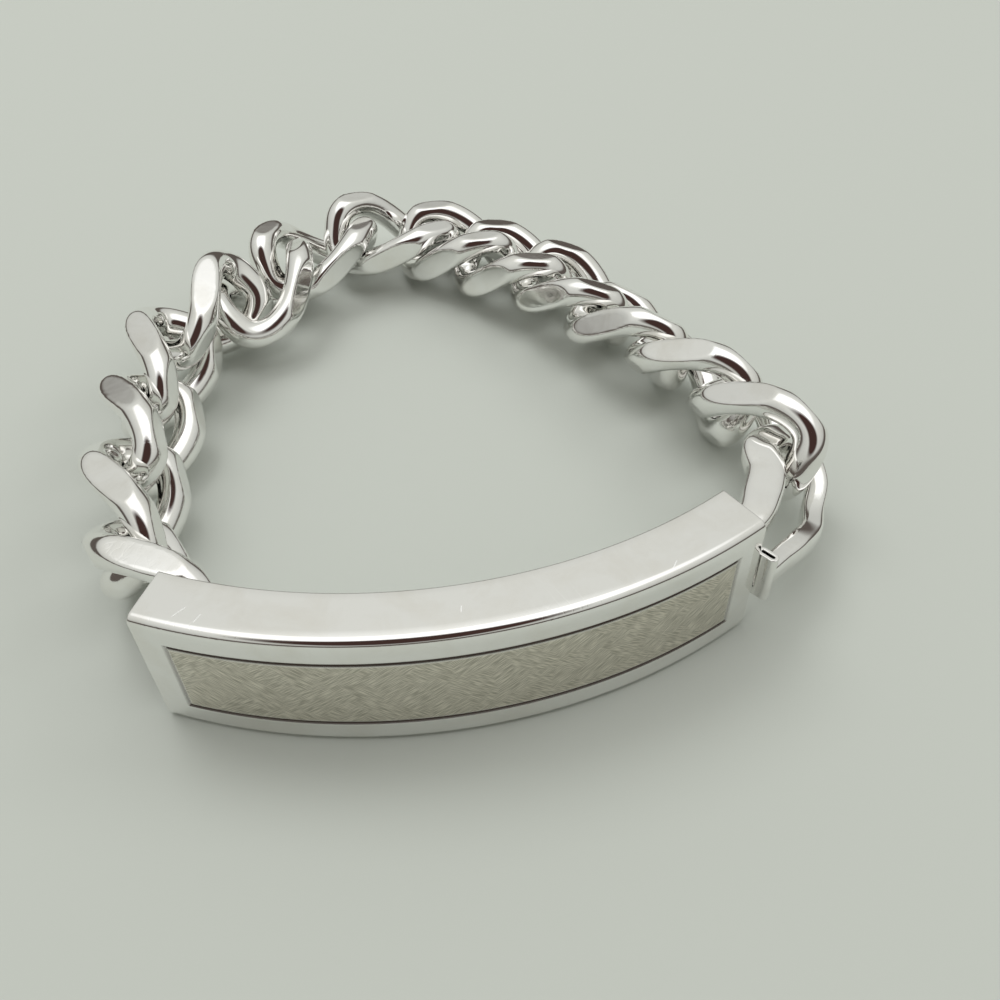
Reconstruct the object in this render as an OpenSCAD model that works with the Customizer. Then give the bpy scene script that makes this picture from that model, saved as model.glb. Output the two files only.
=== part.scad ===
// Id bracelet: a curved hollow name plate, fourteen flattened curb links and a hook.
// Millimetres, +Z up. The bracelet stands on edge on a table, closed, as worn.
// The plate's middle faces -Y; X runs to the right along the plate.

/* [Whole bracelet] */
// Widest distance across the closed bracelet, nearly; it spreads links and plate
bracelet_w = 75; // [75:1:84]

/* [Name plate] */
// Height of the plate, along the arm
plate_h = 14; // [13.5:0.5:17]
// Thickness of the metal sheet the plate is folded from
sheet = 0.6; // [0.4:0.05:0.65]
// Depth of the folded edges, towards the wrist
edge_depth = 5.1; // [5.1:0.1:6]
// Rounding where the front folds into the edges
edge_round = 0.8; // [0.5:0.1:1.2]
// Distance of the engraved frame line from the long edges
line_inset = 2.8; // [1.8:0.1:3.6]
// Width of the engraved frame line
line_w = 0.4; // [0.2:0.05:0.6]

/* [Curb links] */
// Thickness of the wire that the links are bent from
link_wire = 3.3; // [2.6:0.1:3.3]
// Thickness of a link over its two ground faces
link_thick = 7.3; // [6.6:0.1:7.3]
// Width of a link over its two ground sides
link_wide = 11.2; // [10.2:0.1:11.2]

/* [Clasp] */
// Width of the hook's broad inner arm; its outer arm is narrower
hook_wide = 3.6; // [3:0.1:3.7]
// Height of the hook's metal
hook_high = 2.4; // [1.8:0.1:2.5]
// Thickness of the two pins soldered between the plate's edges
pin_d = 0.9; // [0.7:0.05:0.9]
// Room between the hook's eye and its pin, all round
eye_gap = 0.1; // [0.05:0.01:0.15]
// Height of the hook's eye
eye_h = 8; // [7:0.5:11]
// Height of the folded lip at the hook's tip
lip_h = 5.4; // [4:0.2:7]

/* [Hidden] */
$fn = 48;
// the routes below were chosen for a bracelet 75 mm wide
spread = bracelet_w / 75;

// the plate's arc: centre, front radius, and its two ends as turns from -Y towards +X
plate_mid = spread * [-7.2, 17.8];
plate_r = spread * 55.7;
plate_from = -19;
plate_to = 36.8;
end_line = 2.7;
line_depth = 0.15;
// the two pins: distance from the plate's ends and behind its front
left_pin_inset = 0.7;
left_pin_behind = 4.6;
right_pin_inset = 0.9;
right_pin_behind = 3.7;

// one link: half its centre line's length and width, and its twist end to end
link_half = 7.2 * spread;
link_loop = 4.75 * spread;
link_twist = 120;
loop_power = 0.68;
link_steps = 16;
wire_sides = 6;

// the chain's route from the plate's left end: middle of each link,
// turn of its length in plan, roll about its length and tilt of its length
// [x, y, z, heading, roll, tilt]
route = [
    [-26, -26.5, 7, 125, 5, 5],
    [-30.5, -17, 7, 100, 10, 5],
    [-31.5, -6.5, 7.5, 95, 15, -5],
    [-32, 4, 7, 85, 10, 5],
    [-29, 13.5, 7, 60, -15, 5],
    [-23.5, 20, 5.5, 65, 110, -5],
    [-18.5, 28.5, 5.5, 40, 95, -10],
    [-9, 32.5, 5, 0, 95, -10],
    [-0.5, 30, 5, -30, 95, 5],
    [6.5, 25, 5, -40, 100, 5],
    [13.5, 18.5, 5.5, -50, 110, 0],
    [19.5, 10.5, 5.5, -55, 125, 5],
    [25.5, 1.5, 6, -60, 150, 5],
    [30.5, -7.5, 7, -70, 150, 10]
];

// the hook from beyond its eye, down through the last link's end, to its tip:
// middle of its metal and its share of the full width
// [x, y, z, share]
hook_route = [
    [26.5, -22, 9, 0.85],
    [28, -19, 9, 1],
    [29, -16, 9, 1],
    [29, -13, 9, 0.95],
    [31, -11, 8.5, 0.8],
    [33, -10.5, 7, 0.65],
    [34.5, -11.5, 6, 0.6],
    [35, -14, 5, 0.6],
    [34, -17, 4.5, 0.6],
    [33, -20, 5, 0.6],
    [31, -22.5, 6, 0.6],
    [29, -24.5, 6.5, 0.55],
    [27, -26.5, 7, 0.55]
];
hook_steps = 3;
hook_sides = 8;
hook_chamfer = 0.4;
hook_z = plate_h / 2;
eye_run_z = 8.5;
eye_run_share = 0.7;
eye_wall = 1;
lip_long = 2;
lip_thick = 1;
lip_slot = 0.3;
lip_turn = -45;

silver = [0.83, 0.84, 0.84];

// a point of the plate's plan at a turn from -Y and a radius
function on_arc(turn, r) = plate_mid + r * [sin(turn), -cos(turn)];
// a length along the front, as a turn
function as_turn(len) = len / plate_r * 180 / PI;

left_pin = on_arc(plate_from + as_turn(left_pin_inset), plate_r - left_pin_behind);
right_pin = on_arc(plate_to - as_turn(right_pin_inset), plate_r - right_pin_behind);

// a link's centre line: an oval ring twisted about its length
function ring_turn(x) = link_twist * x / (2 * link_half);
function ring_point(t) =
    let (x = link_half * cos(t))
    let (r = link_loop * sign(sin(t)) * pow(abs(sin(t)), loop_power))
    let (p = ring_turn(x))
    [x, r * sin(p), r * cos(p)];
// the ring's own side direction at the same place
function ring_side(t) =
    let (p = ring_turn(link_half * cos(t)))
    [0, cos(p), -sin(p)];

function unit(v) = v / norm(v);
// the part of m that is square to the direction t
function square_to(m, t) = unit(m - (m * t) * t);
// one ring of wire corners round the point c, square to the direction t
function wire_ring(c, t, m, r, sides) =
    let (u = square_to(m, t))
    let (v = cross(t, u))
    [for (s = [0 : sides - 1]) c + r * (cos(360 * s / sides) * u + sin(360 * s / sides) * v)];
// two triangles for each wire face between the rings i and j
function wire_faces(i, j, sides) =
    [for (s = [0 : sides - 1])
        let (n = (s + 1) % sides)
        each [[i * sides + s, j * sides + n, j * sides + s],
              [i * sides + s, i * sides + n, j * sides + n]]];

// the smooth curve through the points p, at the part t of its step i
function along(p, i, t) =
    let (n = len(p) - 1)
    let (a = p[max(i - 1, 0)], b = p[i], c = p[min(i + 1, n)], d = p[min(i + 2, n)])
    0.5 * (2 * b + (c - a) * t + (2 * a - 5 * b + 4 * c - d) * t * t
        + (3 * b - a - 3 * c + d) * t * t * t);

module wire_loop(points, sides_dir, r, sides) {
    n = len(points);
    rings = [for (i = [0 : n - 1])
        each wire_ring(points[i], unit(points[(i + 1) % n] - points[(i + n - 1) % n]),
            sides_dir[i], r, sides)];
    polyhedron(rings, [for (i = [0 : n - 1]) each wire_faces(i, (i + 1) % n, sides)]);
}

// corners of the hook's chamfered section, in its height and its width
function strip_corners(h, w) =
    let (c = hook_chamfer)
    [[h, c - w], [h, w - c], [h - c, w], [c - h, w], [-h, w - c], [-h, c - w], [c - h, -w], [h - c, -w]];
// the section set square to the run at the point c
function strip_ring(c, t, h, w) =
    let (u = square_to([0, 0, 1], t))
    let (v = cross(t, u))
    [for (k = strip_corners(h, w)) c + k[0] * u + k[1] * v];

// a strip along rows of [x, y, z, width]
module strip_run(rows, high, sides) {
    n = len(rows);
    points = [for (r = rows) [r[0], r[1], r[2]]];
    rings = [for (i = [0 : n - 1])
        each strip_ring(points[i], unit(points[min(i + 1, n - 1)] - points[max(i - 1, 0)]),
            high / 2, rows[i][3] / 2)];
    first_end = [[for (s = [0 : sides - 1]) s]];
    last_end = [[for (s = [0 : sides - 1]) n * sides - 1 - s]];
    polyhedron(rings, concat(
        [for (i = [0 : n - 2]) each wire_faces(i, i + 1, sides)], first_end, last_end));
}

// one curb link in its own frame: length along X, ground faces square to Y
module curb_link() {
    turns = [for (i = [0 : link_steps - 1]) (i + 0.5) * 360 / link_steps];
    intersection() {
        wire_loop([for (t = turns) ring_point(t)], [for (t = turns) ring_side(t)],
            link_wire / 2, wire_sides);
        cube([4 * link_half, link_thick, link_wide], center = true);
    }
}

module link_at(number) {
    row = route[number - 1];
    color(silver)
        translate([spread * row[0], spread * row[1], row[2] * spread])
            rotate([0, 0, row[3]])
                rotate([0, -row[5], 0])
                    rotate([-row[4], 0, 0])
                        curb_link();
}

module link_01() { link_at(1); }
module link_02() { link_at(2); }
module link_03() { link_at(3); }
module link_04() { link_at(4); }
module link_05() { link_at(5); }
module link_06() { link_at(6); }
module link_07() { link_at(7); }
module link_08() { link_at(8); }
module link_09() { link_at(9); }
module link_10() { link_at(10); }
module link_11() { link_at(11); }
module link_12() { link_at(12); }
module link_13() { link_at(13); }
module link_14() { link_at(14); }

// section of the folded sheet: front at plate_r, open towards the wrist
module plate_section() {
    r = edge_round;
    difference() {
        union() {
            translate([plate_r - edge_depth, 0])
                square([edge_depth - r, plate_h]);
            translate([plate_r - edge_depth, r])
                square([edge_depth, plate_h - 2 * r]);
            translate([plate_r - r, r])
                circle(r);
            translate([plate_r - r, plate_h - r])
                circle(r);
        }
        translate([plate_r - edge_depth - 1, sheet])
            square([edge_depth + 1 - sheet, plate_h - 2 * sheet]);
    }
}

// a shape swept round the plate's arc between two turns from -Y
module round_arc(turn_a, turn_b) {
    translate([plate_mid[0], plate_mid[1], 0])
        rotate([0, 0, turn_a - 90])
            rotate_extrude(angle = turn_b - turn_a)
                children();
}

// a thin curved panel lying in the plate's front, drawn in by the given margin
module front_panel(margin) {
    side = plate_from + as_turn(end_line - line_inset + margin);
    round_arc(side, -side + plate_from + plate_to)
        translate([plate_r - line_depth, margin])
            square([line_depth + 1, plate_h - 2 * margin]);
}

module name_plate() {
    color(silver)
        difference() {
            union() {
                round_arc(plate_from, plate_to)
                    plate_section();
                for (p = [left_pin, right_pin])
                    translate([p[0], p[1], sheet / 2])
                        cylinder(d = pin_d, h = plate_h - sheet);
            }
            // the engraved frame line
            difference() {
                front_panel(line_inset - line_w / 2);
                front_panel(line_inset + line_w / 2);
            }
        }
}

// the lip in plan: a strip folded over on itself
module lip_section() {
    difference() {
        union() {
            square([lip_long - lip_thick, lip_thick], center = true);
            for (side = [-1, 1])
                translate([side * (lip_long - lip_thick) / 2, 0])
                    circle(d = lip_thick);
        }
        square([lip_long - lip_thick, lip_slot], center = true);
    }
}

module clasp_hook() {
    bend = concat([[right_pin[0], right_pin[1], spread * eye_run_z, eye_run_share * hook_wide]],
        [for (p = hook_route) [spread * p[0], spread * p[1], spread * p[2], hook_wide * p[3]]]);
    last = len(bend) - 2;
    curve = concat([for (i = [0 : last], s = [0 : hook_steps - 1])
        along(bend, i, s / hook_steps)], [bend[last + 1]]);
    tip = bend[last + 1];
    eye_r = pin_d / 2 + eye_gap;
    color(silver)
        difference() {
            union() {
                strip_run(curve, hook_high, hook_sides);
                translate([right_pin[0], right_pin[1], hook_z - eye_h / 2])
                    cylinder(r = eye_r + eye_wall, h = eye_h);
                translate([tip[0], tip[1], tip[2] - lip_h / 2])
                    rotate([0, 0, lip_turn])
                        linear_extrude(lip_h)
                            lip_section();
            }
            translate([right_pin[0], right_pin[1], hook_z - eye_h])
                cylinder(r = eye_r, h = 2 * eye_h);
        }
}

name_plate();
link_01();
link_02();
link_03();
link_04();
link_05();
link_06();
link_07();
link_08();
link_09();
link_10();
link_11();
link_12();
link_13();
link_14();
clasp_hook();
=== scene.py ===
from math import radians

import bpy
import numpy as np
from mathutils import Matrix, Vector


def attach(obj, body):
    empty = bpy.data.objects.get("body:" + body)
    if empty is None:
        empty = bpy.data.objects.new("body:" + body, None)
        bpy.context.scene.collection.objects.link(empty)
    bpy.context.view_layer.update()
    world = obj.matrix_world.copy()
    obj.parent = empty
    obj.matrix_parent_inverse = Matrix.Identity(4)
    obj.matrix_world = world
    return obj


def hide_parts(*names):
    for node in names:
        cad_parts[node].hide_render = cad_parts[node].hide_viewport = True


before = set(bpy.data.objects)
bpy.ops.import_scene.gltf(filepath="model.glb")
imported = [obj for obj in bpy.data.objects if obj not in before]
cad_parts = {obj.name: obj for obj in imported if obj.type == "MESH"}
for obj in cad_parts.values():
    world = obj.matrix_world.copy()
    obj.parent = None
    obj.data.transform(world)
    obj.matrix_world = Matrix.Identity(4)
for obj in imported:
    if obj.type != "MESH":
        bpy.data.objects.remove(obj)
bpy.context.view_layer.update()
print("stage: frame loaded")

mm = 0.001

# the camera of the photo, worked out from the plate's edges
photoCamera = {
    "place": (0.004, -0.082, 0.0763546),
    "right": (0.999649, -0.019286, -0.018153),
    "down": (-0.026485, -0.727915, -0.685155),
    "forward": (0.0, 0.685396, -0.728171),
    "lens": 36.18,
    "sensor": 36.0,
    "nearest": 2 * mm,
}


def makeCamera(c):
    data = bpy.data.cameras.new("photo_camera")
    data.lens, data.sensor_width, data.clip_start = c["lens"], c["sensor"], c["nearest"]
    camera = bpy.data.objects.new("photo_camera", data)
    r, d, f, p = c["right"], c["down"], c["forward"], c["place"]
    camera.matrix_world = Matrix([(r[i], -d[i], -f[i], p[i]) for i in range(3)] + [(0, 0, 0, 1)])
    bpy.context.scene.collection.objects.link(camera)
    bpy.context.scene.camera = camera


makeCamera(photoCamera)


def gridFaces(rows, columns, closeRows=True, turned=False):
    # quads of a grid whose columns wrap round; its rows wrap too where closeRows is true, and
    # the quads face the other way where turned is true
    i = np.arange(rows if closeRows else rows - 1)[:, None]
    j = np.arange(columns)[None, :]
    k, n = (i + 1) % rows, (j + 1) % columns
    corners = [i * columns + j, i * columns + n, k * columns + n, k * columns + j]
    if turned:
        corners = corners[:1] + corners[:0:-1]
    return np.stack(np.broadcast_arrays(*corners), -1).reshape(-1, 4)


def tubeFaces(rows, columns, turned=False):
    # the quads of a tube, and one face over each of its two ends
    first, last = list(range(columns)), list(range((rows - 1) * columns, rows * columns))
    ends = [first, last[::-1]] if turned else [first[::-1], last]
    return gridFaces(rows, columns, False, turned).tolist() + ends


def makePiece(name, points, faces, material, nodes=(), uv=None, split=None):
    # a smooth-shaded mesh; edges that bend by more than split degrees stay sharp
    mesh = bpy.data.meshes.new(name)
    mesh.from_pydata(points.tolist(), [], [list(f) for f in faces])
    mesh.polygons.foreach_set("use_smooth", np.ones(len(mesh.polygons), bool))
    if uv is not None:
        corner = np.empty(len(mesh.loops), np.int32)
        mesh.loops.foreach_get("vertex_index", corner)
        layer = mesh.uv_layers.new(name="surfaceUv")
        layer.data.foreach_set("uv", uv[corner].astype(np.float32).ravel())
    if split is not None:
        mesh.set_sharp_from_angle(angle=radians(split))
    mesh.materials.append(material)
    mesh.update()
    piece = bpy.data.objects.new(name, mesh)
    bpy.context.scene.collection.objects.link(piece)
    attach(piece, "root")
    if nodes:
        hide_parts(*nodes)


def softLeast(values, softness):
    # the least of several lengths, eased where two are nearly equal
    stack = np.stack(values)
    low = stack.min(0)
    return low - softness * np.log(np.exp(-(stack - low) / softness).sum(0))


def groundWire(path, side, radius, sides, planes, softness):
    # a round wire along a closed path, ground off by planes: from the path's point, straight out
    # at each angle, the surface lies at the wire's radius or at the nearest plane, if that is less
    ahead = np.roll(path, -1, 0) - np.roll(path, 1, 0)
    ahead /= np.linalg.norm(ahead, axis=1)[:, None]
    u = side - (side * ahead).sum(1)[:, None] * ahead
    u /= np.linalg.norm(u, axis=1)[:, None]
    v = np.cross(ahead, u)
    angle = np.arange(sides) * 2 * np.pi / sides
    out = np.cos(angle)[None, :, None] * u[:, None] + np.sin(angle)[None, :, None] * v[:, None]
    reach = [np.full(out.shape[:2], radius)]
    for normal, offset in planes:
        normal = np.array(normal, float)
        toward = np.maximum(out @ normal, 1e-3)      # a way off the plane meets it far out
        reach.append((offset - path @ normal)[:, None] / toward)
    return path[:, None] + softLeast(reach, softness)[..., None] * out


curbLink = {
    "halfLength": 7.2 * mm,       # of the centre line
    "halfLoop": 4.75 * mm,        # half width of the centre line
    "wire": 3.3 * mm,
    "twist": radians(120),
    "bendPower": 0.68,
    "faceAt": 3.65 * mm,          # ground faces, from the middle
    "sideAt": 5.6 * mm,           # ground sides, from the middle
    "softness": 0.02 * mm,
    "steps": 176,
    "sides": 44,
}

# middle of each link in mm, turn in plan, roll and tilt of its length in degrees
chainRoute = [
    (-26, -26.5, 7, 125, 5, 5),
    (-30.5, -17, 7, 100, 10, 5),
    (-31.5, -6.5, 7.5, 95, 15, -5),
    (-32, 4, 7, 85, 10, 5),
    (-29, 13.5, 7, 60, -15, 5),
    (-23.5, 20, 5.5, 65, 110, -5),
    (-18.5, 28.5, 5.5, 40, 95, -10),
    (-9, 32.5, 5, 0, 95, -10),
    (-0.5, 30, 5, -30, 95, 5),
    (6.5, 25, 5, -40, 100, 5),
    (13.5, 18.5, 5.5, -50, 110, 0),
    (19.5, 10.5, 5.5, -55, 125, 5),
    (25.5, 1.5, 6, -60, 150, 5),
    (30.5, -7.5, 7, -70, 150, 10),
]


def linkSurface(c):
    # centre line: x = a cos t; the ring's half width r = b sin t (with a power that squares it
    # up), turned about x by an angle that grows along x; then a wire round it, ground by planes
    t = (np.arange(c["steps"]) + 0.5) * 2 * np.pi / c["steps"]
    x = c["halfLength"] * np.cos(t)
    r = c["halfLoop"] * np.sign(np.sin(t)) * np.abs(np.sin(t)) ** c["bendPower"]
    turn = c["twist"] * x / (2 * c["halfLength"])
    path = np.stack([x, r * np.sin(turn), r * np.cos(turn)], -1)
    side = np.stack([0 * x, np.cos(turn), -np.sin(turn)], -1)
    planes = [((0, s, 0), c["faceAt"]) for s in (-1, 1)]
    planes += [((0, 0, s), c["sideAt"]) for s in (-1, 1)]
    return groundWire(path, side, c["wire"] / 2, c["sides"], planes, c["softness"])


def linkAxes(heading, roll, tilt):
    # the link's own x, y and z: its length turned in plan and tilted up, then its width turned
    # about that length by the roll, from upright towards the outside of the loop
    h, r, p = radians(heading), radians(roll), radians(tilt)
    along = np.array([np.cos(h) * np.cos(p), np.sin(h) * np.cos(p), np.sin(p)])
    outward = np.array([-np.sin(h), np.cos(h), 0])
    wide = np.cos(r) * np.cross(along, outward) + np.sin(r) * outward
    return np.array([along, np.cross(wide, along), wide])


claspHook = {
    "wide": 3.6 * mm,            # full width; hookRoute gives the share of it at each point
    "high": 2.4 * mm,
    "squareness": 0.5,
    "stepsEach": 14,
    "sides": 48,
    "eyeRun": (8.5, 0.7),        # height in mm and share of the width where the run leaves the eye
    "runGap": 0.7 * mm,          # the run starts in the eye's wall, this far out from its bore
    "eyeMiddle": 7 * mm,
    "eyeInner": 0.55 * mm,
    "eyeOuter": 1.55 * mm,
    "eyeHeight": 8 * mm,
    "eyeRounding": 0.15 * mm,
    "lipLong": 2.0 * mm,
    "lipThick": 1.0 * mm,
    "lipSlot": 0.3 * mm,
    "lipHeight": 5.4 * mm,
    "lipTurn": radians(-45),
    "lipRounding": 0.08 * mm,
    "outlineSteps": 72,          # round the eye and round the lip
    "cornerSteps": 6,
}
# middle of the hook's metal in mm, and its share of the full width
hookRoute = [
    (26.5, -22, 9, 0.85),
    (28, -19, 9, 1),
    (29, -16, 9, 1),
    (29, -13, 9, 0.95),
    (31, -11, 8.5, 0.8),
    (33, -10.5, 7, 0.65),
    (34.5, -11.5, 6, 0.6),
    (35, -14, 5, 0.6),
    (34, -17, 4.5, 0.6),
    (33, -20, 5, 0.6),
    (31, -22.5, 6, 0.6),
    (29, -24.5, 6.5, 0.55),
    (27, -26.5, 7, 0.55),
]


def smoothRun(points, steps):
    # a curve through the points: on each stretch a cubic whose slope at a point is half the
    # way between that point's two neighbours
    p = np.vstack([points[:1], points, points[-1:]])
    t = np.arange(steps)[None, :, None] / steps
    a, b, c, d = (p[i:len(p) - 3 + i][:, None] for i in range(4))
    run = 0.5 * (2 * b + (c - a) * t + (2 * a - 5 * b + 4 * c - d) * t ** 2
                 + (3 * b - a - 3 * c + d) * t ** 3)
    return np.vstack([run.reshape(-1, points.shape[1]), points[-1:]])


def hookSurface(c, rows):
    # at each point of the run a rounded square set upright: with a going once round,
    # across = wide/2 sin(a)^q and up = high/2 cos(a)^q, where q is the squareness
    path, wide = rows[:, :3], rows[:, 3]
    ahead = np.gradient(path, axis=0)
    ahead /= np.linalg.norm(ahead, axis=1)[:, None]
    up = np.array([0, 0, 1.0]) - ahead[:, 2:] * ahead
    up /= np.linalg.norm(up, axis=1)[:, None]
    across = np.cross(ahead, up)
    a = np.arange(c["sides"]) * 2 * np.pi / c["sides"]
    sway, rise = (np.sign(f) * np.abs(f) ** c["squareness"] for f in (np.sin(a), np.cos(a)))
    return (path[:, None] + (wide[:, None] / 2 * sway)[..., None] * across[:, None]
            + (c["high"] / 2 * rise)[None, :, None] * up[:, None])


def eyeOutline(c, middle):
    # a circle, drawn in from the eye's outside to its bore by a share of the wall
    angle = np.arange(c["outlineSteps"]) * 2 * np.pi / c["outlineSteps"]
    unit = np.stack([np.cos(angle), np.sin(angle)], -1)
    return lambda share: middle + (c["eyeOuter"] + (c["eyeInner"] - c["eyeOuter"]) * share) * unit


def lipOutline(c, middle):
    # a flat loop: two half circles joined by straight runs, drawn in by a share of the wall
    angle = (np.arange(c["outlineSteps"]) + 0.5) * 2 * np.pi / c["outlineSteps"]
    turn, wall = c["lipTurn"], (c["lipThick"] - c["lipSlot"]) / 2
    shift = np.sign(np.cos(angle)) * (c["lipLong"] - c["lipThick"]) / 2
    turned = np.array([[np.cos(turn), np.sin(turn)], [-np.sin(turn), np.cos(turn)]])

    def outline(share):
        r = c["lipThick"] / 2 - wall * share
        flat = np.stack([shift + r * np.cos(angle), r * np.sin(angle)], -1)
        return middle + flat @ turned
    return outline


def ringWall(outline, wall, height, middle, corner, steps):
    # a thin wall standing on its outline: at each point of the outline the wall's section, a
    # rectangle with rounded corners, runs up outside, in over the top and down inside
    q = np.linspace(0, np.pi / 2, steps)
    run = []
    for side, top, backwards in ((0, 1, False), (1, 1, True), (1, 0, False), (0, 0, True)):
        a = q[::-1] if backwards else q
        run.append(np.stack([side + (1 - 2 * side) * corner * (1 - np.cos(a)) / wall,
                             top * height + (1 - 2 * top) * corner * (1 - np.sin(a))], -1))
    run = np.vstack(run)
    share = run[:, 0][None, :, None]
    flat = outline(0.0)[:, None] * (1 - share) + outline(1.0)[:, None] * share
    z = np.broadcast_to(run[:, 1][None, :] + middle - height / 2, flat.shape[:2])
    return np.concatenate([flat, z[..., None]], -1)


namePlate = {
    "middle": np.array([-7.2, 17.8]) * mm,
    "radius": 55.7 * mm,
    "from": radians(-19),
    "to": radians(36.8),
    "height": 14 * mm,
    "depth": 5.1 * mm,
    "sheet": 0.6 * mm,
    "rounding": 0.8 * mm,        # long edges of the front
    "foldRounding": 0.2 * mm,    # inside the folds
    "rimRounding": 0.25 * mm,    # rims of the two folded edges
    "endRounding": 0.12 * mm,
    "lineInset": 2.8 * mm,       # engraved line, from the long edges
    "lineEnd": 2.7 * mm,         # engraved line, from the ends
    "lineWidth": 0.46 * mm,
    "lineDepth": 0.16 * mm,
    "stepsLong": 190,
    "stepsHigh": 22,
    "stepsFold": 8,
    "stepsRound": 11,
    "stepsRim": 5,
    "pin": 0.9 * mm,
    "pinSides": 32,
    "pinTurns": (radians(-18.280), radians(35.874)),
    "pinReach": (51.1 * mm, 52.0 * mm),
}


def onArc(c, turn, reach):
    # a point of the plan at a turn from -Y and a distance from the arc's middle
    return (c["middle"][0] + reach * np.sin(turn), c["middle"][1] - reach * np.cos(turn))


def lineGrid(low, high, coarse, lines, width):
    # even steps, with extra ones where an engraved line crosses
    extra = [line + width * k for line in lines for k in (-0.75, -0.5, -0.25, 0, 0.25, 0.5, 0.75)]
    return np.unique(np.round(np.concatenate([np.linspace(low, high, coarse), extra]), 7))


def plateSection(c):
    # the folded sheet's outline in (radius, z): round each corner a quarter circle, straight
    # between them; the front has extra points where the engraved lines run
    front, back, top, sheet = c["radius"], c["radius"] - c["depth"], c["height"], c["sheet"]
    edge, fold, rim = c["rounding"], c["foldRounding"], c["rimRounding"]
    corners = [((back, 0), rim), ((front, 0), edge), ((front, top), edge), ((back, top), rim),
               ((back, top - sheet), rim), ((front - sheet, top - sheet), fold),
               ((front - sheet, sheet), fold), ((back, sheet), rim)]
    points = []
    for k, (corner, r) in enumerate(corners):
        corner = np.array(corner)
        following, nextR = corners[(k + 1) % len(corners)]
        before, after = np.array(corners[k - 1][0]) - corner, np.array(following) - corner
        before, after = before / np.linalg.norm(before), after / np.linalg.norm(after)
        q = np.linspace(0, np.pi / 2, c["stepsRound"] if r == edge else c["stepsRim"])[:, None]
        points.append(corner + r * before * (1 - np.sin(q)) + r * after * (1 - np.cos(q)))
        if k == 1:      # up the front
            lines = (c["lineInset"], top - c["lineInset"])
            z = lineGrid(r, top - r, c["stepsHigh"], lines, c["lineWidth"])[1:-1]
            points.append(np.stack([np.full(len(z), front), z], -1))
        elif k in (0, 2, 4, 6):      # across a folded edge
            start, end = points[-1][-1], np.array(following) - after * nextR
            points.append(start + (end - start) * np.linspace(0, 1, c["stepsFold"])[1:-1, None])
    return np.vstack(points)


def plateSurface(c):
    # the section carried round the arc; its ends draw in by a quarter circle, and the front
    # sinks by a V along the outline of the engraved frame
    section = plateSection(c)
    front, high, end = c["radius"], c["height"], c["endRounding"]
    ahead = np.roll(section, -1, 0) - np.roll(section, 1, 0)
    ahead /= np.linalg.norm(ahead, axis=1)[:, None]
    inward = np.stack([-ahead[:, 1], ahead[:, 0]], -1)
    first, last = c["from"] * front, c["to"] * front
    lines = (first + c["lineEnd"], last - c["lineEnd"])
    rounding = end * (1 - np.cos(np.linspace(0, np.pi / 2, c["stepsRim"])))
    along = np.unique(np.concatenate([
        lineGrid(first, last, c["stepsLong"], lines, c["lineWidth"]),
        first + rounding, last - rounding]))
    gap = np.minimum(np.minimum(along - first, last - along), end)
    draw = end - np.sqrt(np.maximum(end ** 2 - (end - gap) ** 2, 0))
    flat = section[None] + draw[:, None, None] * inward[None]
    onFront = section[None, :, 0] > front - 0.001 * mm
    middle, half = (lines[0] + lines[1]) / 2, (lines[1] - lines[0]) / 2
    off = np.maximum(np.abs(along - middle)[:, None] - half,
                     np.abs(section[:, 1] - high / 2)[None] - (high / 2 - c["lineInset"]))
    groove = c["lineDepth"] * np.maximum(0, 1 - np.abs(off) / (c["lineWidth"] / 2)) * onFront
    x, y = onArc(c, (along / front)[:, None], flat[..., 0] - groove)
    # surface coordinates: length along the arc, and the way round the section, which on the
    # front is the height
    step = np.linalg.norm(np.roll(section, -1, 0) - section, axis=1)
    way = np.concatenate([[0], np.cumsum(step)[:-1]])
    foot = np.argmin(np.abs(section - (front, c["rounding"])).sum(1))
    way = way - way[foot] + c["rounding"]
    uv = np.stack(np.broadcast_arrays(along[:, None], way[None]), -1)
    return np.stack([x, y, flat[..., 1]], -1), uv


def roundPin(c, turn, reach):
    # an upright round pin from inside one folded edge to inside the other
    angle = np.arange(c["pinSides"]) * 2 * np.pi / c["pinSides"]
    x, y = onArc(c, turn, reach)
    x, y = x + c["pin"] / 2 * np.cos(angle), y + c["pin"] / 2 * np.sin(angle)
    ends = (c["sheet"] / 2, c["height"] - c["sheet"] / 2)
    return np.vstack([np.stack([x, y, np.full(len(x), z)], -1) for z in ends])


def node(tree, kind, values=(), **settings):
    # a new node with its settings; a value is a number or another node's output
    made = tree.nodes.new(kind)
    for key, value in settings.items():
        setattr(made, key, value)
    for socket, value in dict(values).items():
        target = made.inputs[socket]
        if isinstance(value, bpy.types.NodeSocket):
            tree.links.new(value, target)
        else:
            target.default_value = value
    return made


def calc(tree, operation, a, b=0.0):
    return node(tree, "ShaderNodeMath", {0: a, 1: b}, operation=operation).outputs[0]


def ranged(tree, value, low, high, first=0.0, last=1.0):
    # goes from first to last while the value goes from low to high
    return node(tree, "ShaderNodeMapRange", {0: value, 1: low, 2: high, 3: first, 4: last}).outputs[0]


def mixed(tree, share, a, b):
    return node(tree, "ShaderNodeMix", {0: share, 2: a, 3: b}).outputs[0]


def tinted(tree, share, a, b):
    return node(tree, "ShaderNodeMix", {0: share, 6: a, 7: b}, data_type="RGBA").outputs[2]


def noise(tree, vector, scale, detail, **more):
    values = {"Vector": vector, "Scale": scale, "Detail": detail, **more}
    return node(tree, "ShaderNodeTexNoise", values).outputs["Fac"]


def stretched(tree, vector, scale):
    return node(tree, "ShaderNodeVectorMath", {0: vector, 1: scale}, operation="MULTIPLY").outputs[0]


def bumped(tree, height, strengthAndDistance, normal=None, **settings):
    strength, distance = strengthAndDistance
    values = {"Height": height, "Strength": strength, "Distance": distance}
    if normal is not None:
        values["Normal"] = normal
    return node(tree, "ShaderNodeBump", values, **settings).outputs[0]


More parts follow.
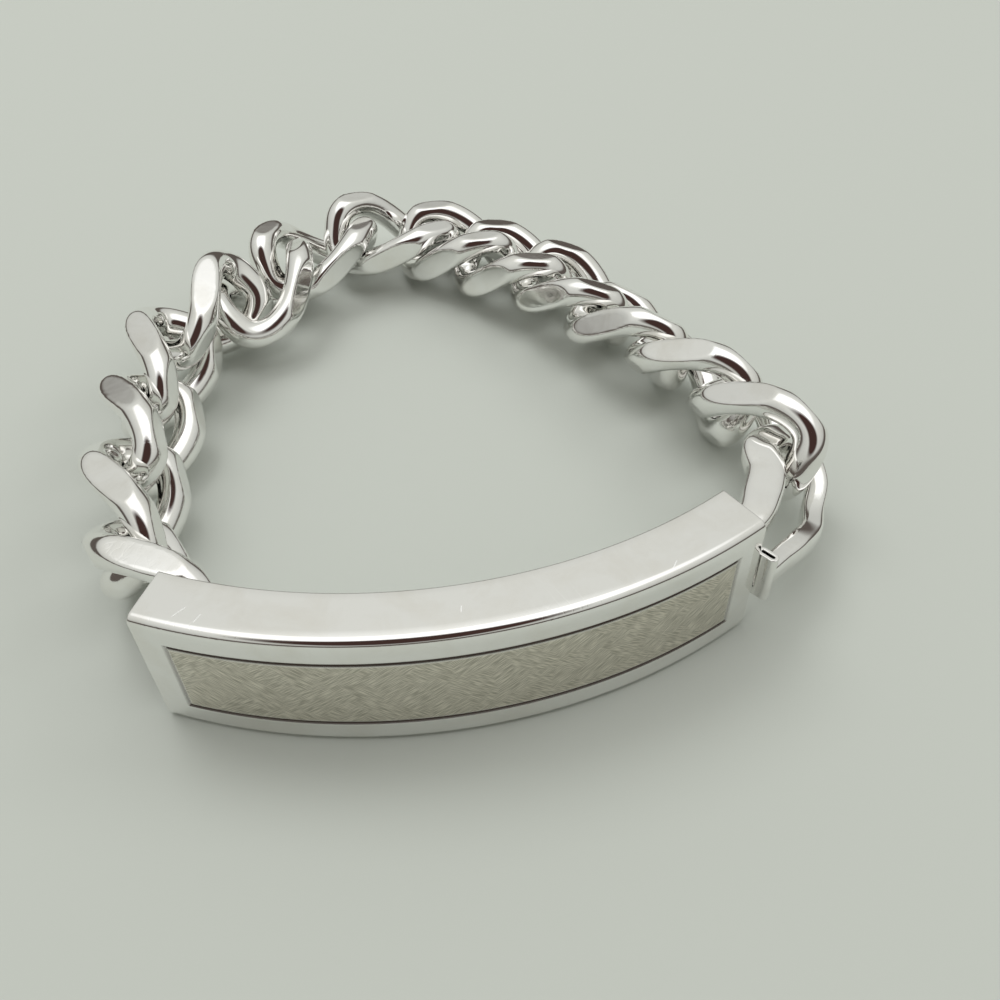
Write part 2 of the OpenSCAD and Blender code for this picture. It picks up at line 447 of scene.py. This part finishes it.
def newGroup(name, inputs, outputs):
    tree = bpy.data.node_groups.new(name, "ShaderNodeTree")
    for label, kind, value in inputs:
        socket = tree.interface.new_socket(label, in_out="INPUT", socket_type=kind)
        if value is not None:
            socket.default_value = value
    for label, kind in outputs:
        tree.interface.new_socket(label, in_out="OUTPUT", socket_type=kind)
    return tree, tree.nodes.new("NodeGroupInput").outputs, tree.nodes.new("NodeGroupOutput").inputs


def useGroup(tree, group, values):
    return node(tree, "ShaderNodeGroup", values, node_tree=group).outputs


def scratchGroup():
    # long thin scratches: noise stretched along a direction, kept only near one level of it
    tree, given, put = newGroup("fineScratches", [
        ("Vector", "NodeSocketVector", None), ("Turn", "NodeSocketFloat", 0.5),
        ("Fine", "NodeSocketFloat", 900.0), ("Amount", "NodeSocketFloat", 0.5)],
        [("Scratch", "NodeSocketFloat")])
    turn = given["Turn"]
    axis = node(tree, "ShaderNodeCombineXYZ", {"X": turn, "Y": turn, "Z": turn}).outputs[0]
    turned = node(tree, "ShaderNodeVectorRotate", rotation_type="EULER_XYZ")
    tree.links.new(given["Vector"], turned.inputs["Vector"])
    tree.links.new(axis, turned.inputs["Rotation"])
    grain = noise(tree, stretched(tree, turned.outputs[0], (1.0, 0.04, 1.0)), given["Fine"], 1.0)
    near = calc(tree, "ABSOLUTE", calc(tree, "SUBTRACT", grain, 0.5))
    line = calc(tree, "SUBTRACT", 1.0, calc(tree, "MULTIPLY", near, 40.0))
    where = ranged(tree, noise(tree, given["Vector"], 160.0, 2.0), 0.52, 0.62)      # only in places
    kept = calc(tree, "MULTIPLY", calc(tree, "MAXIMUM", line, 0.0), where)
    tree.links.new(calc(tree, "MULTIPLY", kept, given["Amount"]), put["Scratch"])
    return tree


def wearGroup():
    # handling marks: soft cloudy smudges that dull the polish, and a faint warm film
    tree, given, put = newGroup("handlingWear", [
        ("Vector", "NodeSocketVector", None), ("Clean", "NodeSocketColor", (0.9, 0.9, 0.9, 1)),
        ("Film", "NodeSocketColor", (0.8, 0.78, 0.74, 1)), ("Polished", "NodeSocketFloat", 0.05),
        ("Dulled", "NodeSocketFloat", 0.16)],
        [("Color", "NodeSocketColor"), ("Roughness", "NodeSocketFloat")])
    cloud = noise(tree, given["Vector"], 210.0, 4.0, Roughness=0.6, Distortion=0.4)
    smudge = ranged(tree, cloud, 0.44, 0.72)
    tree.links.new(tinted(tree, smudge, given["Clean"], given["Film"]), put["Color"])
    tree.links.new(ranged(tree, smudge, 0.0, 1.0, given["Polished"], given["Dulled"]),
                   put["Roughness"])
    return tree


fineScratches = scratchGroup()
handlingWear = wearGroup()

silverFinish = {
    "clean": (0.91, 0.905, 0.89, 1),
    "film": (0.84, 0.825, 0.79, 1),
    "scratches": ((0.6, 700.0), (2.1, 900.0), (-1.2, 800.0)),      # turn and fineness of each set
    "scratchBump": (0.25, 0.01 * mm),      # strength and distance
    "ripple": 330.0,
    "rippleBump": (0.12, 0.12 * mm),
}


def silverBase(name, clean, film, polished, dulled):
    material = bpy.data.materials.new(name)
    material.use_nodes = True
    tree = material.node_tree
    shader = tree.nodes["Principled BSDF"]
    shader.inputs["Metallic"].default_value = 1.0
    place = node(tree, "ShaderNodeTexCoord").outputs["Object"]
    wear = useGroup(tree, handlingWear, {"Vector": place, "Clean": clean, "Film": film,
                                         "Polished": polished, "Dulled": dulled})
    return material, tree, shader, place, wear


def finishSilver(tree, shader, tone, rough, normal):
    tree.links.new(tone, shader.inputs["Base Color"])
    tree.links.new(rough, shader.inputs["Roughness"])
    tree.links.new(normal, shader.inputs["Normal"])


def polishedSilver(c, name, polished, dulled, amount):
    # polished and dulled are the roughness clear of the smudges and in them
    material, tree, shader, place, wear = silverBase(name, c["clean"], c["film"], polished, dulled)
    marks = [useGroup(tree, fineScratches, {"Vector": place, "Turn": turn, "Fine": fine,
                                            "Amount": amount})["Scratch"]
             for turn, fine in c["scratches"]]
    height = calc(tree, "ADD", calc(tree, "ADD", marks[0], marks[1]), marks[2])
    waved = bumped(tree, noise(tree, place, c["ripple"], 2.0), c["rippleBump"])
    normal = bumped(tree, height, c["scratchBump"], waved, invert=True)
    finishSilver(tree, shader, wear["Color"], wear["Roughness"], normal)
    return material


plateFinish = {
    "clean": (0.91, 0.905, 0.89, 1),
    "film": (0.85, 0.835, 0.8, 1),
    "polished": 0.04,
    "dulled": 0.12,
    "hatchTurns": (radians(-38), radians(40)),
    "hatchDark": (0.45, 0.425, 0.36, 1),
    "hatchLight": (0.80, 0.76, 0.67, 1),
    "hatchRough": (0.32, 0.42),          # in the two kinds of patch
    "hatchBump": (0.3, 0.01 * mm),
    # painted shade for the engraved line's groove
    "linePaintedShade": (0.07, 0.045, 0.035, 1),
    "lineRough": 0.3,
    "longLine": 0.95,                    # how strongly the painted shade shows on the frame's long lines
    "endLine": 0.4,                      # and on its short end lines, which are cut more lightly
    "markTone": (1, 1, 1, 1),
    "markRough": 0.45,
    "scratchTurns": (0.9, 2.4),
    "scratchFine": 800.0,
    "scratchAmount": 0.5,
    "scratchBump": (0.25, 0.01 * mm),
}

# light marks in the plate's polish: place along its front, from where that faces -Y, and way
# round its section, past 14 on the upper folded edge; half length, all in mm; turn in degrees
plateMarks = [
    (-14.6, 15.4, 0.75, 58),
    (-12.9, 15.1, 0.55, 72),
    (26.5, 14.6, 0.5, 35),
    (8.4, 16.2, 0.35, 80),
]


def hatchGroup(c):
    # hand-engraved hatching: fine parallel cuts in patches; in each patch the cuts run one of
    # two ways; a cut's tone is noise stretched along it, pushed towards light or dark
    tree, given, put = newGroup("hatchedSatin", [
        ("Vector", "NodeSocketVector", None), ("Fine", "NodeSocketFloat", 12000.0)],
        [("Cut", "NodeSocketFloat"), ("Patch", "NodeSocketFloat")])
    cuts = []
    for turn in c["hatchTurns"]:
        turned = node(tree, "ShaderNodeVectorRotate", {"Vector": given["Vector"], "Angle": turn},
                      rotation_type="Z_AXIS").outputs[0]
        grain = noise(tree, stretched(tree, turned, (0.06, 1.0, 1.0)), given["Fine"], 1.0)
        cuts.append(ranged(tree, grain, 0.38, 0.62))
    patch = ranged(tree, noise(tree, given["Vector"], 240.0, 2.0), 0.47, 0.53)
    tree.links.new(mixed(tree, patch, *cuts), put["Cut"])
    tree.links.new(patch, put["Patch"])
    return tree


def markGroup():
    # one short straight mark, 1 on its middle line and 0 past its width and its ends
    tree, given, put = newGroup("singleMark", [
        ("Vector", "NodeSocketVector", None), ("Middle", "NodeSocketVector", (0, 0, 0)),
        ("Turn", "NodeSocketFloat", 0.0), ("Half", "NodeSocketFloat", 0.5 * mm)],
        [("Mark", "NodeSocketFloat")])
    away = node(tree, "ShaderNodeVectorMath", {0: given["Vector"], 1: given["Middle"]},
                operation="SUBTRACT").outputs[0]
    turned = node(tree, "ShaderNodeVectorRotate", {"Vector": away, "Angle": given["Turn"]},
                  rotation_type="Z_AXIS", invert=True).outputs[0]
    along, across = node(tree, "ShaderNodeSeparateXYZ", {0: turned}).outputs[:2]
    length = calc(tree, "DIVIDE", calc(tree, "ABSOLUTE", along), given["Half"])
    inside = ranged(tree, length, 1.0, 0.7)
    near = ranged(tree, calc(tree, "ABSOLUTE", across), 0.07 * mm, 0.02 * mm)
    tree.links.new(calc(tree, "MULTIPLY", inside, near), put["Mark"])
    return tree


def awayFrom(tree, value, middle, half):
    # how far a coordinate lies outside a stretch, negative inside it
    off = calc(tree, "ABSOLUTE", calc(tree, "SUBTRACT", value, middle))
    return calc(tree, "SUBTRACT", off, half)


def plateSilver(c, p):
    # polished all over, except the panel inside the engraved frame, which is hatched satin;
    # the engraved line itself is darkened by painted shade in its groove
    material, tree, shader, place, wear = silverBase(
        "plate_silver", c["clean"], c["film"], c["polished"], c["dulled"])
    uv = node(tree, "ShaderNodeUVMap", uv_map="surfaceUv").outputs[0]
    along, around = node(tree, "ShaderNodeSeparateXYZ", {0: uv}).outputs[:2]
    width, halfHigh = p["lineWidth"], p["height"] / 2
    offLong = awayFrom(tree, along, (p["from"] + p["to"]) / 2 * p["radius"],
                       (p["to"] - p["from"]) / 2 * p["radius"] - p["lineEnd"])
    offHigh = awayFrom(tree, around, halfHigh, halfHigh - p["lineInset"])
    off = calc(tree, "MAXIMUM", offLong, offHigh)
    panel = ranged(tree, off, -width * 0.3, -width * 0.8)
    line = ranged(tree, calc(tree, "ABSOLUTE", off), width * 0.6, width * 0.2)
    # share of painted shade on each engraved line, more on the long lines than on the end lines
    depth = ranged(tree, calc(tree, "SUBTRACT", offLong, offHigh), -0.1 * mm, 0.1 * mm,
                   c["longLine"], c["endLine"])

    hatch = useGroup(tree, hatchGroup(c), {"Vector": uv})
    satin = ranged(tree, hatch["Patch"], 0.0, 1.0, *c["hatchRough"])
    rough = mixed(tree, panel, wear["Roughness"], satin)
    rough = mixed(tree, line, rough, c["lineRough"])
    beige = tinted(tree, hatch["Cut"], c["hatchDark"], c["hatchLight"])
    tone = tinted(tree, panel, wear["Color"], beige)
    # painted shade darkens the engraved line
    tone = tinted(tree, calc(tree, "MULTIPLY", line, depth), tone, c["linePaintedShade"])

    single, marked = markGroup(), 0.0
    for x, y, half, turn in plateMarks:
        mark = useGroup(tree, single, {"Vector": uv, "Middle": (x * mm, y * mm, 0),
                                       "Turn": radians(turn), "Half": half * mm})["Mark"]
        marked = calc(tree, "MAXIMUM", mark, marked)
    rough = mixed(tree, marked, rough, c["markRough"])
    tone = tinted(tree, marked, tone, c["markTone"])

    scratches = [useGroup(tree, fineScratches, {
        "Vector": place, "Turn": turn, "Fine": c["scratchFine"],
        "Amount": c["scratchAmount"]})["Scratch"] for turn in c["scratchTurns"]]
    grained = bumped(tree, calc(tree, "ADD", *scratches), c["scratchBump"], invert=True)
    ridges = calc(tree, "MULTIPLY", hatch["Cut"], panel)
    normal = bumped(tree, ridges, c["hatchBump"], grained)
    finishSilver(tree, shader, tone, rough, normal)
    return material


linkSilver = polishedSilver(silverFinish, "link_silver", 0.045, 0.13, 0.5)
hookSilver = polishedSilver(silverFinish, "hook_silver", 0.05, 0.15, 0.8)
pinSilver = polishedSilver(silverFinish, "pin_silver", 0.12, 0.25, 0.5)
print("stage: silver made")

linkPoints = linkSurface(curbLink).reshape(-1, 3)
linkFaces = gridFaces(curbLink["steps"], curbLink["sides"])
for number, (x, y, z, heading, roll, tilt) in enumerate(chainRoute, 1):
    points = linkPoints @ linkAxes(heading, roll, tilt) + np.array([x, y, z]) * mm
    makePiece(f"curb_link_{number:02d}", points, linkFaces, linkSilver,
              [f"link_{number:02d}"])
print("stage: links made")

plateGrid, plateUv = plateSurface(namePlate)
plateFaces = tubeFaces(*plateGrid.shape[:2], turned=True)
makePiece("engraved_plate", plateGrid.reshape(-1, 3), plateFaces,
          plateSilver(plateFinish, namePlate), ["name_plate"], plateUv.reshape(-1, 2), 50)
pinFaces = tubeFaces(2, namePlate["pinSides"])
for side, turn, reach in zip(("left", "right"), namePlate["pinTurns"], namePlate["pinReach"]):
    makePiece(f"plate_pin_{side}", roundPin(namePlate, turn, reach), pinFaces, pinSilver,
              split=50)
print("stage: plate made")

eye = np.array(onArc(namePlate, namePlate["pinTurns"][1], namePlate["pinReach"][1]))
eyeHeight, eyeShare = claspHook["eyeRun"]
hookPoints = np.array(hookRoute) * (mm, mm, mm, claspHook["wide"])
hookPoints = np.vstack([[*eye, eyeHeight * mm, eyeShare * claspHook["wide"]], hookPoints])
hookRun = smoothRun(hookPoints, claspHook["stepsEach"])
outside = np.linalg.norm(hookRun[:, :2] - eye, axis=1) > claspHook["eyeInner"] + claspHook["runGap"]
hookGrid = hookSurface(claspHook, hookRun[outside])
makePiece("hook_bend", hookGrid.reshape(-1, 3), tubeFaces(*hookGrid.shape[:2]), hookSilver,
          ["clasp_hook"], split=60)

eyeGrid = ringWall(eyeOutline(claspHook, eye), claspHook["eyeOuter"] - claspHook["eyeInner"],
                   claspHook["eyeHeight"], claspHook["eyeMiddle"], claspHook["eyeRounding"],
                   claspHook["cornerSteps"])
lipGrid = ringWall(lipOutline(claspHook, hookPoints[-1, :2]),
                   (claspHook["lipThick"] - claspHook["lipSlot"]) / 2, claspHook["lipHeight"],
                   hookPoints[-1, 2], claspHook["lipRounding"], claspHook["cornerSteps"])
for name, grid in (("hook_eye", eyeGrid), ("hook_lip", lipGrid)):
    makePiece(name, grid.reshape(-1, 3), gridFaces(*grid.shape[:2], turned=True),
              hookSilver, split=50)
print("stage: hook made")


studio = {
    "floor": (0.585, 0.615, 0.57, 1),
    "floorRough": 0.9,
    "floorSize": 1.6,
    "sky": [                              # tone by how high one looks, 0 level and 1 overhead
        (0.0, (0.10, 0.085, 0.075, 1)),
        (0.17, (0.10, 0.085, 0.075, 1)),
        (0.30, (0.50, 0.505, 0.475, 1)),
        (0.80, (0.68, 0.685, 0.645, 1)),
        (0.92, (1.25, 1.25, 1.23, 1)),
        (1.0, (1.25, 1.25, 1.23, 1)),
    ],
    "strength": 1.08,
    "shade": (0.05, 0.028, 0.024, 1),     # a dark warm patch where the viewer stands
    "viewer": (0.0, -0.70, 0.714),
    "shadeEdge": (0.86, 0.93),            # cosine of the patch's half width, outside and inside
    "lights": [                           # name, place, size and power
        ("soft_top", (-0.2, 0.2, 0.5), 0.3, 0.7),
        ("soft_side", (0.35, 0.1, 0.35), 0.2, 0.25),
    ],
}


def makeFloor(c):
    h = c["floorSize"] / 2
    mesh = bpy.data.meshes.new("floor")
    mesh.from_pydata([(-h, -h, 0), (h, -h, 0), (h, h, 0), (-h, h, 0)], [], [(0, 1, 2, 3)])
    material = bpy.data.materials.new("pale_floor")
    material.use_nodes = True
    shader = material.node_tree.nodes["Principled BSDF"]
    shader.inputs["Base Color"].default_value = c["floor"]
    shader.inputs["Roughness"].default_value = c["floorRough"]
    mesh.materials.append(material)
    floor = bpy.data.objects.new("floor", mesh)
    bpy.context.scene.collection.objects.link(floor)


def makeWorld(c):
    # dark just above the table, soft grey above that, brightest overhead; a dark warm patch
    # on the viewer's side, which polished metal shows as a thin line along its rounded edges
    world = bpy.data.worlds.new("studio")
    bpy.context.scene.world = world
    world.use_nodes = True
    tree = world.node_tree
    way = node(tree, "ShaderNodeTexCoord").outputs["Generated"]
    level = node(tree, "ShaderNodeSeparateXYZ", {0: way}).outputs[2]
    ramp = node(tree, "ShaderNodeValToRGB", {0: level})
    elements = ramp.color_ramp.elements
    elements[0].position, elements[0].color = c["sky"][0]
    elements[1].position, elements[1].color = c["sky"][-1]
    for position, tone in c["sky"][1:-1]:
        elements.new(position).color = tone
    toward = node(tree, "ShaderNodeVectorMath", {0: way, 1: c["viewer"]},
                  operation="DOT_PRODUCT").outputs["Value"]
    sky = tinted(tree, ranged(tree, toward, *c["shadeEdge"]), ramp.outputs[0], c["shade"])
    background = tree.nodes["Background"]
    tree.links.new(sky, background.inputs["Color"])
    background.inputs["Strength"].default_value = c["strength"]


def areaLight(name, place, size, power):
    # a soft round light that faces the origin
    data = bpy.data.lights.new(name, "AREA")
    data.shape, data.size, data.energy = "DISK", size, power
    light = bpy.data.objects.new(name, data)
    light.visible_glossy = False       # the polished metal shows only the even sky
    bpy.context.scene.collection.objects.link(light)
    turn = Vector(place).to_track_quat("Z", "Y").to_matrix().to_4x4()
    light.matrix_world = Matrix.Translation(place) @ turn


makeFloor(studio)
makeWorld(studio)
for light in studio["lights"]:
    areaLight(*light)
bpy.context.scene.view_settings.view_transform = "Standard"
print("stage: floor and light made")
